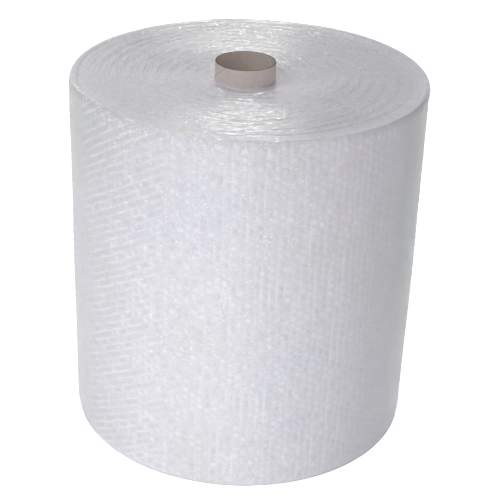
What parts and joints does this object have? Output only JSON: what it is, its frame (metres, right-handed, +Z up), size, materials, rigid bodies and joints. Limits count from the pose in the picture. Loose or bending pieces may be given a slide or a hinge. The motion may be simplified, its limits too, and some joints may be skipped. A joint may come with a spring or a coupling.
{
  "type": "bubble wrap roll",
  "caption": "Upright roll of clear bubble wrap wound on an open paper core, with the turns showing on both ends.",
  "frame": {"origin": "middle of the roll on the floor, at the centre of the base's bounding box", "axes": "+Z up along the roll's axis, -Y towards the side the picture shows, +X to the picture's right"},
  "size_m": [0.4798, 0.4815, 0.517],
  "materials": {
    "core_paper": "matt grey-brown paperboard",
    "film": "glossy milky film over air bubbles"
  },
  "bodies": {
    "root": {"core_tube": "core_paper", "bubble_film": "film"}
  },
  "joints": []
}
